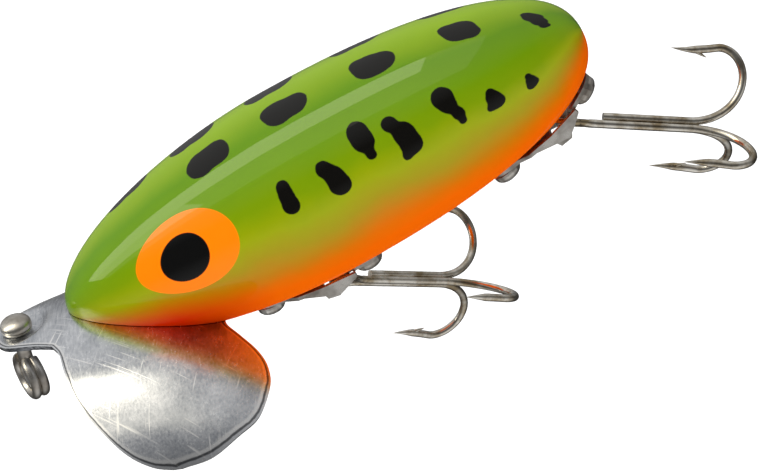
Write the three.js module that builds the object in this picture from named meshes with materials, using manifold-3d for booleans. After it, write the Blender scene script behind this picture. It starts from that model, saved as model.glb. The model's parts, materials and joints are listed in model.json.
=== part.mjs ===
// A surface plug for fishing: a hollow moulded body, a pressed metal lip with two cups,
// a swivelling line tie on the lip's tab, and two treble hooks on stamped hangers.
// Millimetres. +X runs from the nose to the tail, +Z to the back, and -Y to the lure's left side.
// The origin of the finished part is the middle of the line tie's eye.

import * as THREE from 'three';
import { mergeGeometries, mergeVertices } from 'three/addons/utils/BufferGeometryUtils.js';
import Module from 'manifold-3d';

// Body, a solid of revolution about X, with its nose at x = 0
const BODY_LENGTH = 76;
const BODY_RADIUS = 12.76;
const WIDEST_AT = 35.1;
const NOSE_CURVE = [1.76, 1.97];
const TAIL_CURVE = [2.35, 2.29];
const WALL = 1.9;
const BOSS_RADIUS = 2.9;
const BOSS_DEPTH = 8.5;

// Lip, a sheet pressed over a form that is round along and across the lure
const LIP_SHEET = 0.7;
const LIP_LONG_RADIUS = 44;
const LIP_CROSS_RADIUS = 26;
const LIP_CREST = [-11, 2];
const LIP_SEAT_GAP = 0.1;
const TAB_NOSE = [[-10.3, 0], [-10.15, 1.7], [-9.55, 3.2], [-8.4, 4.5], [-6.6, 5.5], [-4.2, 6.6], [-2.2, 7.65]];
const WING_FRONT = [[-2.2, 7.65], [-1.45, 9.4], [-1.3, 12.4], [-0.9, 15.9], [0.2, 18.9], [2.1, 21.7], [4.4, 23.1],
  [7.1, 23.5]];
const WING_REAR = [[19.9, 0], [19.6, 2.2], [18.3, 4], [18.1, 5.8], [19.2, 7.6], [20.6, 9.9], [21.1, 12.2],
  [20.6, 15.1], [18.5, 18.7], [15.4, 20.9], [11.5, 22.8], [7.1, 23.5]];

// Line tie: a domed cap, a washer, and an eye of wire wound double on one shank
const TIE_AT = -7.35;
const TIE_TILT = 19.5 * Math.PI / 180;
const TIE_LEAN = 8 * Math.PI / 180;
const TIE_TURN = 27.5 * Math.PI / 180;
const TIE_SEAT_DEPTH = 0.64;
const TIE_SEAT_RADIUS = 2.6;
const TIE_SEAT_BLEND = 2.4;
const TIE_REST_GAP = 0.06;
const TIE_WIRE = 1.3;
const TIE_EYE_RADIUS = 2.75;
const TIE_EYE_BELOW = 7.4;
const TIE_SHANK = 1.9;
const TIE_CLEARANCE = 0.3;
const CAP_RADIUS = 2.1;
const CAP_HEIGHT = 1.5;
const CAP_RIM = 0.35;
const CAP_BORE_DEPTH = 0.8;
const WASHER = 0.35;
const WASHER_INSET = 0.05;
const WASHER_GAP = 0.04;

// Screws
const SCREW_HEAD = 3.9;
const SCREW_HEAD_HEIGHT = 1.4;
const SCREW_SHANK = 2;
const SCREW_LENGTH = 8;
const SCREW_POINT = 1.6;
const PILOT_CLEARANCE = 0.12;
const SCREW_HOLE_CLEARANCE = 0.15;
const DRIVER_WING = 0.5;
const DRIVER_SPAN = 2.3;
const DRIVER_DEPTH = 0.75;
const LIP_SCREWS_AT = [5.5, 17.3];

// Hangers: a plate with two ears under the front screw, a strap under the rear screw
const BELLY_HANGER_AT = 23.2;
const TAIL_HANGER_TO_END = 17.4;
const HANGER_SCREW_PITCH = 14.05;
const HANGER_SHEET = 0.5;
const HANGER_WIDTH = 5.8;
const HANGER_TAB_WIDTH = 3.6;
const HANGER_SEAT = 0.12;
const TAB_REACH = 2.4;
const SHOULDER = [2.2, 4.2];
const RAMP_START = 2.7;
const RAMP_END = 7.6;
const EAR_TIP = 12.2;
const EAR_PEAK = [[9.05, 2.43], [10.7, 1.8], [12.2, 1.17]];
const EAR_LEDGE = 0.18;
const RAMP_STANDOFF = [0.4, 0.55];
const STRAP_WIDTH = 4.2;
const STRAP_NECK = 0.7;
const STRAP_NECK_BLEND = 0.5;
const STRAP_NOSE = [[1.1, 0.15], [0.5, 0.9], [0.6, 1.5]];
const EYE_AT = [9.9, 2];
const STRUT_DOWN = 1.75;
const STRUT_LEAN = 45 * Math.PI / 180;

// Treble hooks
const HOOK_WIRE = 1.05;
const HOOK_EYE_RADIUS = 1.5;
const HOOK_EYE_WIRE = 0.95;
const STRAND_GAP = 0.04;
const BRAZE_GAP = 0.05;
const SHANK_LENGTH = 15.7;
const SINGLE_START = 4.3;
const BEND_OUT = 6.8;
const BEND_RISE = 5.9;
const CROWN_BACK = 3.3;
const CROWN_RISE = 3.75;
const POINT_LENGTH = 6.4;
const POINT_DROP = 0.45;
const BARB_BACK = 2.9;
const BARB_LENGTH = 1.9;
const BARB_LIFT = 0.95;
const TREBLE_POSES = [
  { roll: -46.6, yaw: 27.6, droop: 47.1 },
  { roll: -24.5, yaw: 3, droop: 35.4 },
];

// Facets
const ROUND_BODY = 40;
const ALONG_BODY = 20;
const ROUND_WIRE = 8;
const ROUND_TURNED = 16;

const wasm = await Module();
wasm.setup();

function toSolid(geometry) {
  const bare = geometry.clone();
  for (const name of Object.keys(bare.attributes)) {
    if (name !== 'position') bare.deleteAttribute(name);
  }
  const merged = mergeVertices(bare, 1e-5);
  return new wasm.Manifold(new wasm.Mesh({
    numProp: 3,
    vertProperties: new Float32Array(merged.attributes.position.array),
    triVerts: new Uint32Array(merged.index.array),
  }));
}

function toGeometry(solid) {
  const mesh = solid.getMesh();
  const geometry = new THREE.BufferGeometry();
  geometry.setAttribute('position', new THREE.BufferAttribute(new Float32Array(mesh.vertProperties), 3));
  geometry.setIndex(new THREE.BufferAttribute(new Uint32Array(mesh.triVerts), 1));
  geometry.computeVertexNormals();
  return geometry;
}

function cut(solid, ...tools) {
  return tools.reduce((left, tool) => left.subtract(tool), solid);
}

function join(...solids) {
  return solids.reduce((sum, solid) => sum.add(solid));
}

// A round solid from a profile of [radius, height] points, turned about its own +Z
function turned(profile, sides = ROUND_TURNED) {
  const points = profile.map(([r, h]) => new THREE.Vector2(r, h));
  return new THREE.LatheGeometry(points, sides).rotateX(Math.PI / 2);
}

function cylinder(radius, from, to, sides = ROUND_TURNED) {
  return new THREE.CylinderGeometry(radius, radius, to - from, sides).rotateX(Math.PI / 2)
    .translate(0, 0, (from + to) / 2);
}

// A flat outline of [x, z] points, pulled out along Y by a width about y = 0
function slabAcross(outline, width, middle = 0) {
  const shape = new THREE.Shape(outline.map(([x, z]) => new THREE.Vector2(x, z)));
  const slab = new THREE.ExtrudeGeometry(shape, { depth: width, bevelEnabled: false });
  return slab.rotateX(Math.PI / 2).translate(0, middle + width / 2, 0);
}

// A flat outline of [x, y] points, pulled out along Z
function slabUp(outline, from, to) {
  const shape = new THREE.Shape(outline.map(([x, y]) => new THREE.Vector2(x, y)));
  return new THREE.ExtrudeGeometry(shape, { depth: to - from, bevelEnabled: false }).translate(0, 0, from);
}

// The outline of a bent strip: its inner line, and the same line moved out by the sheet
function bentStrip(line, sheet) {
  const points = line.map(([x, z]) => new THREE.Vector2(x, z));
  const outer = points.map((point, i) => {
    const before = point.clone().sub(points[Math.max(i - 1, 0)]);
    const after = points[Math.min(i + 1, points.length - 1)].clone().sub(point);
    const first = (i ? before : after).normalize();
    const last = (i < points.length - 1 ? after : before).normalize();
    const mitre = new THREE.Vector2(-first.y - last.y, first.x + last.x).normalize();
    const stretch = Math.max(mitre.dot(new THREE.Vector2(-first.y, first.x)), 0.5);
    return [point.x + mitre.x * sheet / stretch, point.y + mitre.y * sheet / stretch];
  });
  return [...line, ...outer.reverse()];
}

// A round wire swept along points, with its own radius at each point and a closed cap at both ends
function wireAlong(points, radii, sides = ROUND_WIRE) {
  const positions = [];
  const index = [];
  const tangents = points.map((_, i) => points[Math.min(i + 1, points.length - 1)].clone()
    .sub(points[Math.max(i - 1, 0)]).normalize());
  let side = new THREE.Vector3(0, 0, 1).cross(tangents[0]);
  if (side.length() < 0.2) side = new THREE.Vector3(0, 1, 0).cross(tangents[0]);
  points.forEach((point, i) => {
    side.addScaledVector(tangents[i], -side.dot(tangents[i])).normalize();
    const up = tangents[i].clone().cross(side);
    for (let k = 0; k < sides; k += 1) {
      const angle = 2 * Math.PI * (k + 0.5) / sides;
      const corner = point.clone().addScaledVector(side, radii[i] * Math.cos(angle))
        .addScaledVector(up, radii[i] * Math.sin(angle));
      positions.push(corner.x, corner.y, corner.z);
    }
    for (let k = 0; i && k < sides; k += 1) {
      const here = i * sides + k;
      const next = i * sides + (k + 1) % sides;
      index.push(here - sides, next - sides, next, here - sides, next, here);
    }
  });
  for (const end of [0, points.length - 1]) {
    const centre = positions.length / 3;
    positions.push(...points[end].toArray());
    for (let k = 0; k < sides; k += 1) {
      const a = end * sides + k;
      const b = end * sides + (k + 1) % sides;
      if (end) index.push(centre, a, b);
      else index.push(centre, b, a);
    }
  }
  const geometry = new THREE.BufferGeometry();
  geometry.setAttribute('position', new THREE.Float32BufferAttribute(positions, 3));
  geometry.setIndex(index);
  return geometry;
}

function arc(from, to, steps, place) {
  return Array.from({ length: steps + 1 }, (_, i) => place(from + (to - from) * i / steps));
}

// The body's shape

function bodyRadius(x, inset = 0) {
  const nose = inset;
  const tail = BODY_LENGTH - inset;
  const ahead = x < WIDEST_AT;
  const t = ahead ? (WIDEST_AT - x) / (WIDEST_AT - nose) : (x - WIDEST_AT) / (tail - WIDEST_AT);
  const [p, q] = ahead ? NOSE_CURVE : TAIL_CURVE;
  return (BODY_RADIUS - inset) * Math.max(1 - Math.min(t, 1) ** p, 0) ** (1 / q);
}

function bodySlope(x) {
  const step = 0.01;
  return (bodyRadius(x + step) - bodyRadius(x - step)) / (2 * step);
}

function revolvedBody(inset, around, along) {
  const half = (curve, reach, sign) => arc(0, Math.PI / 2, along, (angle) => [
    (BODY_RADIUS - inset) * Math.max(Math.cos(angle), 0) ** (2 / curve[1]),
    WIDEST_AT + sign * reach * Math.sin(angle) ** (2 / curve[0]),
  ]);
  const nose = half(NOSE_CURVE, WIDEST_AT - inset, -1);
  const tail = half(TAIL_CURVE, BODY_LENGTH - inset - WIDEST_AT, 1);
  const profile = [...nose.reverse(), ...tail.slice(1)];
  profile[0][0] = 0;
  profile[profile.length - 1][0] = 0;
  return turned(profile, around).rotateY(Math.PI / 2);
}

// The lip's shape: the height of its upper face over (x, y), and the same face as a closed block below it

function dishHeight(x, y) {
  const along = Math.sqrt(LIP_LONG_RADIUS ** 2 - (x - LIP_CREST[0]) ** 2) - LIP_LONG_RADIUS;
  const across = Math.sqrt(Math.max(LIP_CROSS_RADIUS ** 2 - y * y, 0)) - LIP_CROSS_RADIUS;
  return LIP_CREST[1] + along + across;
}

const tieSeatHeight = dishHeight(TIE_AT, 0) - TIE_SEAT_DEPTH;

function lipHeight(x, y) {
  const floor = tieSeatHeight - Math.tan(TIE_TILT) * (x - TIE_AT);
  const out = Math.hypot(x - TIE_AT, y) - TIE_SEAT_RADIUS;
  const blend = THREE.MathUtils.smoothstep(out, 0, TIE_SEAT_BLEND);
  return THREE.MathUtils.lerp(floor, dishHeight(x, y), blend);
}

function surfaceNormal(height, x, y) {
  const step = 0.02;
  const slopeX = (height(x + step, y) - height(x - step, y)) / (2 * step);
  const slopeY = (height(x, y + step) - height(x, y - step)) / (2 * step);
  return new THREE.Vector3(-slopeX, -slopeY, 1).normalize();
}

// Joins two grids of points, row by row, into one closed shell: the first faces up, the second down
function shellBetween(top, bottom) {
  const rows = top.length;
  const columns = top[0].length;
  const points = [...top.flat(), ...bottom.flat()];
  const at = (i, j, lower) => (lower ? rows * columns : 0) + i * columns + j;
  const index = [];
  const quad = (a, b, c, d) => index.push(a, b, c, a, c, d);
  for (let i = 0; i < rows - 1; i += 1) {
    for (let j = 0; j < columns - 1; j += 1) {
      quad(at(i, j), at(i + 1, j), at(i + 1, j + 1), at(i, j + 1));
      quad(at(i, j, true), at(i, j + 1, true), at(i + 1, j + 1, true), at(i + 1, j, true));
    }
    quad(at(i + 1, 0), at(i, 0), at(i, 0, true), at(i + 1, 0, true));
    quad(at(i, columns - 1), at(i + 1, columns - 1), at(i + 1, columns - 1, true), at(i, columns - 1, true));
  }
  for (let j = 0; j < columns - 1; j += 1) {
    quad(at(0, j), at(0, j + 1), at(0, j + 1, true), at(0, j, true));
    quad(at(rows - 1, j + 1), at(rows - 1, j), at(rows - 1, j, true), at(rows - 1, j + 1, true));
  }
  const geometry = new THREE.BufferGeometry();
  geometry.setAttribute('position', new THREE.Float32BufferAttribute(points.flatMap((p) => p.toArray()), 3));
  geometry.setIndex(index);
  return geometry;
}

// Everything below the dish, raised by a gap: it cuts the chin to the lip
function belowDish(raise) {
  const reach = 1.15 * BODY_RADIUS;
  const xs = arc(-0.15 * BODY_RADIUS, 0.77 * WIDEST_AT, 18, (x) => x);
  const ys = arc(-reach, reach, 18, (y) => y);
  const top = xs.map((x) => ys.map((y) => new THREE.Vector3(x, y, dishHeight(x, y) + raise)));
  const bottom = xs.map((x) => ys.map((y) => new THREE.Vector3(x, y, -2 * BODY_RADIUS)));
  return toSolid(shellBetween(top, bottom));
}

function frameAt(origin, xAxis, zAxis) {
  const z = zAxis.clone().normalize();
  const x = xAxis.clone().addScaledVector(z, -xAxis.dot(z)).normalize();
  const y = z.clone().cross(x);
  return new THREE.Matrix4().makeBasis(x, y, z).setPosition(origin);
}

// Screw places: origin on the seat, +Z out of the body

function bellyFrame(x) {
  const slope = bodySlope(x);
  return frameAt(new THREE.Vector3(x, 0, -bodyRadius(x)),
    new THREE.Vector3(1, 0, -slope), new THREE.Vector3(-slope, 0, -1));
}

function lipScrewFrame(x) {
  const out = surfaceNormal(dishHeight, x, 0).negate();
  const seat = new THREE.Vector3(x, 0, dishHeight(x, 0));
  return frameAt(seat, new THREE.Vector3(1, 0, 0), out);
}

function tieSeatFrame() {
  const up = new THREE.Vector3(Math.sin(TIE_TILT), 0, Math.cos(TIE_TILT));
  return frameAt(new THREE.Vector3(TIE_AT, 0, tieSeatHeight), new THREE.Vector3(1, 0, 0), up);
}

// The tie is loose in its hole: it leans until the washer's rim rests on the seat
function tieFrame() {
  const lift = TIE_REST_GAP + (CAP_RADIUS - WASHER_INSET) * Math.sin(TIE_LEAN) - WASHER_GAP * Math.cos(TIE_LEAN);
  const aside = Math.tan(TIE_LEAN) * (lift + LIP_SHEET / 2);
  const leaning = new THREE.Matrix4().makeRotationX(TIE_LEAN).setPosition(0, -aside, lift);
  return tieSeatFrame().multiply(leaning);
}

// A screw pitch is measured straight from screw to screw, so the rear place is found on the belly line
function rearScrewAt(front) {
  let x = front + HANGER_SCREW_PITCH;
  for (let i = 0; i < 20; i += 1) {
    const far = Math.hypot(x - front, bodyRadius(x) - bodyRadius(front));
    x -= far - HANGER_SCREW_PITCH;
  }
  return x;
}

const hangersAt = [BELLY_HANGER_AT, BODY_LENGTH - TAIL_HANGER_TO_END];

function screw(sheet) {
  const r = SCREW_SHANK / 2;
  const head = SCREW_HEAD / 2;
  const under = sheet + 0.02;
  const dome = arc(0, Math.PI / 2, 5, (angle) => [
    head * Math.cos(angle) ** 0.7, under + 0.3 + (SCREW_HEAD_HEIGHT - 0.3) * Math.sin(angle),
  ]);
  dome[dome.length - 1][0] = 0;
  const profile = [[0, -SCREW_LENGTH], [r * 0.35, -SCREW_LENGTH + 0.3], [r, -SCREW_LENGTH + SCREW_POINT],
    [r, under], [head, under], ...dome];
  const top = under + SCREW_HEAD_HEIGHT;
  const wing = new THREE.BoxGeometry(DRIVER_SPAN, DRIVER_WING, 2 * DRIVER_DEPTH).translate(0, 0, top);
  const other = wing.clone().rotateZ(Math.PI / 2);
  return toGeometry(cut(toSolid(turned(profile)), join(toSolid(wing), toSolid(other))));
}

// A flat head on the curved lip rests on the head's rim, so it stands off by the curve's rise
const lipStandoff = LIP_SHEET + (SCREW_HEAD / 2) ** 2 / (2 * (LIP_CROSS_RADIUS - 2 * LIP_SHEET));

const screwHole = (clearance, top) => cylinder(SCREW_SHANK / 2 + clearance, -SCREW_LENGTH - 0.6, top, 12);

// Body halves: one revolved shell with posts for the screws, cut to the lip, then parted at y = 0

function bodyHalves() {
  const screwFrames = [
    ...LIP_SCREWS_AT.map(lipScrewFrame),
    ...hangersAt.flatMap((x) => [bellyFrame(x), bellyFrame(rearScrewAt(x))]),
  ];
  const placed = (geometry, frame) => toSolid(geometry.clone().applyMatrix4(frame));
  const posts = screwFrames.map((frame) => placed(cylinder(BOSS_RADIUS, -BOSS_DEPTH, 1, 12), frame));
  const hollow = cut(toSolid(revolvedBody(WALL, ROUND_BODY / 2, ALONG_BODY / 2)), belowDish(WALL), ...posts);
  const pilots = screwFrames.map((frame) => placed(screwHole(PILOT_CLEARANCE, 2), frame));
  const whole = cut(toSolid(revolvedBody(0, ROUND_BODY, ALONG_BODY)), belowDish(LIP_SEAT_GAP), hollow, ...pilots);
  const side = new THREE.BoxGeometry(2 * BODY_LENGTH, BODY_LENGTH, BODY_LENGTH);
  return [-1, 1].map((sign) => toGeometry(
    whole.intersect(toSolid(side.clone().translate(BODY_LENGTH / 2, sign * BODY_LENGTH / 2, 0)))));
}

// Lip: a grid from its front edge to its rear edge, as wide as the two cups, with three holes

function lip() {
  const curve = (points, steps) => new THREE.SplineCurve(points.map(([x, y]) => new THREE.Vector2(x, y)))
    .getSpacedPoints(steps);
  const tabSteps = 9;
  const wingSteps = 12;
  const front = [...curve(TAB_NOSE, tabSteps), ...curve(WING_FRONT, wingSteps).slice(1)];
  const rear = curve(WING_REAR, tabSteps + wingSteps);
  const mirrored = (edge) => [...edge.slice(1).reverse().map((p) => new THREE.Vector2(p.x, -p.y)), ...edge];
  const fronts = mirrored(front).slice(1, -1);
  const rears = mirrored(rear).slice(1, -1);
  const rows = arc(0, 1, 17, (v) => v ** 1.5);
  const face = (sheet) => rows.map((v) => fronts.map((point, j) => {
    const { x, y } = point.clone().lerp(rears[j], v);
    return new THREE.Vector3(x, y, lipHeight(x, y)).addScaledVector(surfaceNormal(lipHeight, x, y), -sheet);
  }));
  const plate = toSolid(shellBetween(face(0), face(LIP_SHEET)));
  const screwHoles = LIP_SCREWS_AT.map((x) => toSolid(
    screwHole(SCREW_HOLE_CLEARANCE, 3).applyMatrix4(lipScrewFrame(x))));
  const tieHole = toSolid(cylinder(TIE_SHANK / 2 + TIE_CLEARANCE, -3, 3).applyMatrix4(tieSeatFrame()));
  return toGeometry(cut(plate, ...screwHoles, tieHole));
}

// Line tie, all in its own frame: +Z up along the shank, the seat at z = 0

const capBase = WASHER + WASHER_GAP;

function tieEye() {
  const offset = TIE_WIRE * 0.46;
  const centre = -TIE_EYE_BELOW;
  const turn = (angle, shift) => new THREE.Vector3(shift, TIE_EYE_RADIUS * Math.sin(angle),
    centre + TIE_EYE_RADIUS * Math.cos(angle));
  const points = arc(0.12 * Math.PI, 3.9 * Math.PI, 44, (angle) => {
    const crossing = THREE.MathUtils.smoothstep(angle, 1.8 * Math.PI, 2.2 * Math.PI);
    return turn(angle, THREE.MathUtils.lerp(-offset, offset, crossing));
  });
  const loop = toSolid(wireAlong(points, points.map(() => TIE_WIRE / 2)));
  const top = capBase + CAP_BORE_DEPTH - 0.05;
  const shank = toSolid(cylinder(TIE_SHANK / 2, centre + TIE_EYE_RADIUS - 0.1, top, 12));
  return toGeometry(join(loop, shank));
}

function tieCap() {
  const bore = TIE_SHANK / 2 + 0.05;
  const dome = arc(0, Math.PI / 2, 6, (angle) => [
    CAP_RADIUS * Math.cos(angle), capBase + CAP_RIM + (CAP_HEIGHT - CAP_RIM) * Math.sin(angle),
  ]);
  dome[dome.length - 1][0] = 0;
  const profile = [[0, capBase + CAP_BORE_DEPTH], [bore, capBase + CAP_BORE_DEPTH], [bore, capBase],
    [CAP_RADIUS - 0.12, capBase], [CAP_RADIUS, capBase + 0.12], ...dome];
  return toGeometry(toSolid(turned(profile, 20)));
}

function tieWasher() {
  const bore = TIE_SHANK / 2 + 0.1;
  const outer = CAP_RADIUS - WASHER_INSET;
  const profile = [[bore, WASHER_GAP], [outer, WASHER_GAP], [outer, WASHER], [bore, WASHER], [bore, WASHER_GAP]];
  return toGeometry(toSolid(turned(profile, 20)));
}

// Hangers, in a frame with its origin at the front screw's seat, +X to the rear screw, +Z out of the body

function hanger(front) {
  const rear = rearScrewAt(front);
  const seat = (x) => new THREE.Vector3(x, 0, -bodyRadius(x));
  const along = seat(rear).sub(seat(front)).normalize();
  const frame = frameAt(seat(front), along, new THREE.Vector3(along.z, 0, -along.x));
  const inverse = frame.clone().invert();
  const belly = (s) => {
    const p = seat(front + (rear - front) * s / HANGER_SCREW_PITCH).applyMatrix4(inverse);
    return p.z;
  };
  const off = (s, standoff) => [s, belly(s) + standoff];
  const tilt = (x) => {
    const normal = new THREE.Vector3(-bodySlope(x), 0, -1).transformDirection(inverse);
    return -normal.x / normal.z;
  };
  return { frame, belly, off, frontTilt: tilt(front), rearTilt: tilt(rear), rear };
}

function hangerPlate(h) {
  const tab = (s) => [s, HANGER_SEAT + h.frontTilt * s];
  const ramp = h.off(RAMP_END, RAMP_STANDOFF[0]);
  const tip = h.off(EAR_TIP, RAMP_STANDOFF[1]);
  const line = [tab(-TAB_REACH), tab(RAMP_START), ramp];
  const sheet = toSolid(slabAcross(bentStrip(line, HANGER_SHEET), HANGER_WIDTH));
  const sides = [-1, 1].flatMap((sign) => {
    const rail = bentStrip([tab(RAMP_START), ramp, tip], HANGER_SHEET);
    const ear = [tab(RAMP_START), ramp, tip, ...EAR_PEAK.map(([s, out]) => h.off(s, out)).reverse()];
    return [
      slabAcross(rail, HANGER_SHEET + EAR_LEDGE, sign * (HANGER_WIDTH - HANGER_SHEET - EAR_LEDGE) / 2),
      slabAcross(ear, HANGER_SHEET, sign * ((HANGER_WIDTH - HANGER_SHEET) / 2 - EAR_LEDGE)),
    ].map(toSolid);
  });
  const narrow = HANGER_TAB_WIDTH / 2;
  const rounded = arc(Math.PI / 2, 3 * Math.PI / 2, 10, (angle) => [narrow * Math.cos(angle),
    narrow * Math.sin(angle)]);
  const wide = HANGER_WIDTH / 2 + EAR_LEDGE;
  const far = 2 * EAR_TIP;
  const keep = toSolid(slabUp([...rounded, [SHOULDER[0], -narrow], [SHOULDER[1], -wide],
    [far, -wide], [far, wide], [SHOULDER[1], wide], [SHOULDER[0], narrow]], -far, far));
  const hole = screwHole(SCREW_HOLE_CLEARANCE, SCREW_LENGTH).rotateY(-h.frontTilt);
  return toGeometry(cut(join(sheet, ...sides).intersect(keep), toSolid(hole)));
}

// The strap runs forward from the rear screw, leans down through the hook's eye, and its nose
// is bent back towards the plate
function strutLine(h) {
  const lean = [-Math.sin(STRUT_LEAN), Math.cos(STRUT_LEAN)];
  return { lean, eye: h.off(...EYE_AT) };
}

function hangerStrap(h) {
  const { lean, eye } = strutLine(h);
  const half = HANGER_SHEET / 2;
  const face = (far) => [eye[0] + lean[0] * far - lean[1] * half, eye[1] + lean[1] * far + lean[0] * half];
  const tab = (s) => [s, HANGER_SEAT + h.rearTilt * (s - HANGER_SCREW_PITCH)];
  const above = (face(0)[1] - tab(face(0)[0])[1]) / (lean[1] - h.rearTilt * lean[0]);
  const bottom = face(STRUT_DOWN);
  const [curl, drop, end] = STRAP_NOSE;
  const nose = [bottom[0] - curl[0], bottom[1] - curl[1]];
  const line = [tab(HANGER_SCREW_PITCH + TAB_REACH), face(-above), bottom, nose,
    [RAMP_END - drop[0], nose[1] - drop[1]], [RAMP_END - end[0], h.off(RAMP_END, end[1])[1]]];
  const sheet = toSolid(slabAcross(bentStrip(line, -HANGER_SHEET), STRAP_WIDTH));
  const neck = STRAP_NECK / 2;
  const wide = STRAP_WIDTH / 2;
  const shoulder = face(-above)[0];
  const rounded = arc(-Math.PI / 2, Math.PI / 2, 8, (angle) => [
    HANGER_SCREW_PITCH + wide * Math.cos(angle), wide * Math.sin(angle)]);
  const [before, after] = [shoulder - STRAP_NECK_BLEND, shoulder + STRAP_NECK_BLEND];
  const far = 2 * EAR_TIP;
  const keep = slabUp([[0, -neck], [before, -neck], [after, -wide], ...rounded,
    [after, wide], [before, neck], [0, neck]], -far, far);
  const hole = screwHole(SCREW_HOLE_CLEARANCE, SCREW_LENGTH).rotateY(-h.rearTilt)
    .translate(HANGER_SCREW_PITCH, 0, 0);
  return toGeometry(cut(sheet.intersect(toSolid(keep)), toSolid(hole)));
}

// Treble hooks, in a frame with the origin in the middle of the eye, +X along the shank, the brazed
// single hook towards +Z. Each bend is a wide quarter ellipse, a tighter crown and a straight point.

function hookPath(radial, offset, start) {
  const r = HOOK_WIRE / 2;
  const at = (x, out) => new THREE.Vector3(x, 0, 0).addScaledVector(radial, out).add(offset);
  const bend = arc(-Math.PI / 2, 0, 9, (angle) => at(SHANK_LENGTH + BEND_OUT * Math.cos(angle),
    BEND_RISE + BEND_RISE * Math.sin(angle)));
  const crownX = SHANK_LENGTH + BEND_OUT - CROWN_BACK;
  const crown = arc(0, Math.PI / 2, 6, (angle) => at(crownX + CROWN_BACK * Math.cos(angle),
    BEND_RISE + CROWN_RISE * Math.sin(angle)));
  const reach = BEND_RISE + CROWN_RISE;
  const spear = [0.35, 0.55, 0.8, 1].map((share) => at(crownX - POINT_LENGTH * share,
    reach - POINT_DROP * Math.sin(Math.PI * share * 0.75)));
  const points = [at(start, 0), ...bend, ...crown.slice(1), ...spear];
  const radii = points.map((_, i) => {
    const left = points.length - 1 - i;
    return [0.04, 0.26, 0.44, 0.52][left] ?? r;
  });
  const spur = at(crownX - POINT_LENGTH + BARB_BACK, reach - 0.42);
  const back = new THREE.Vector3(BARB_LENGTH, 0, 0).addScaledVector(radial, -BARB_LIFT);
  const barb = wireAlong([spur, spur.clone().addScaledVector(back, 0.55), spur.clone().add(back)],
    [0.3, 0.22, 0.03], 5);
  return { points, radii, barb };
}

function doubleHook() {
  const half = HOOK_WIRE / 2 + STRAND_GAP / 2;
  const strands = [-1, 1].map((sign) => hookPath(
    new THREE.Vector3(0, sign * Math.sin(Math.PI / 3), -Math.cos(Math.PI / 3)),
    new THREE.Vector3(0, sign * half, 0), SINGLE_START));
  const flare = Math.PI * 0.27;
  const neckPoints = (sign) => [[3.1, half + 0.02], [2.2, half + 0.16]].map(([x, y]) => new THREE.Vector3(
    x, sign * y, 0));
  const loop = arc(-flare, flare - 2 * Math.PI, 14, (angle) => new THREE.Vector3(
    HOOK_EYE_RADIUS * Math.cos(angle), HOOK_EYE_RADIUS * Math.sin(angle), 0));
  const points = [...strands[0].points.slice().reverse(), ...neckPoints(-1), ...loop,
    ...neckPoints(1).reverse(), ...strands[1].points];
  const eyeRadii = loop.map(() => HOOK_EYE_WIRE / 2);
  const neckRadii = [HOOK_WIRE / 2, HOOK_EYE_WIRE / 2];
  const radii = [...strands[0].radii.slice().reverse(), ...neckRadii, ...eyeRadii,
    ...neckRadii.slice().reverse(), ...strands[1].radii];
  return toGeometry(join(toSolid(wireAlong(points, radii)), ...strands.map((strand) => toSolid(strand.barb))));
}

function singleHook() {
  const rise = HOOK_WIRE * Math.sqrt(3) / 2 + BRAZE_GAP;
  const single = hookPath(new THREE.Vector3(0, 0, 1), new THREE.Vector3(0, 0, rise), SINGLE_START);
  return toGeometry(join(toSolid(wireAlong(single.points, single.radii)), toSolid(single.barb)));
}

// The treble hangs with its eye round the strut, rolled about its shank, turned aside and drooping
function trebleFrame(h, pose) {
  const [eyeAlong, eyeOut] = strutLine(h).eye;
  const [roll, yaw, droop] = [pose.roll, pose.yaw, pose.droop].map(THREE.MathUtils.degToRad);
  return new THREE.Matrix4().makeRotationFromEuler(new THREE.Euler(roll, droop, yaw, 'YZX'))
    .setPosition(new THREE.Vector3(eyeAlong, 0, eyeOut).applyMatrix4(h.frame));
}

const paint = () => new THREE.MeshStandardMaterial({ color: 0x86a80a, roughness: 0.12, metalness: 0 });
const aluminium = () => new THREE.MeshStandardMaterial({ color: 0xc9cacb, roughness: 0.35, metalness: 1 });
const nickel = () => new THREE.MeshStandardMaterial({ color: 0xa8a49b, roughness: 0.22, metalness: 1 });

function piece(name, geometry, material, matrix = new THREE.Matrix4()) {
  const mesh = new THREE.Mesh(geometry, material);
  mesh.name = name;
  mesh.applyMatrix4(matrix);
  return mesh;
}

const tie = tieFrame();
const eyeCentre = new THREE.Vector3(0, 0, -TIE_EYE_BELOW).applyMatrix4(tie);
const turnedTie = tie.clone().multiply(new THREE.Matrix4().makeRotationZ(TIE_TURN));

const lure = new THREE.Group();
const [left, right] = bodyHalves();
lure.add(piece('body_left_half', left, paint()));
lure.add(piece('body_right_half', right, paint()));
lure.add(piece('lip', lip(), aluminium()));
lure.add(piece('lip_screw_front', screw(lipStandoff), nickel(), lipScrewFrame(LIP_SCREWS_AT[0])));
lure.add(piece('lip_screw_rear', screw(lipStandoff), nickel(), lipScrewFrame(LIP_SCREWS_AT[1])));
lure.add(piece('line_tie_eye', tieEye(), nickel(), turnedTie));
lure.add(piece('line_tie_cap', tieCap(), nickel(), tie));
lure.add(piece('line_tie_washer', tieWasher(), nickel(), tie));

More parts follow.
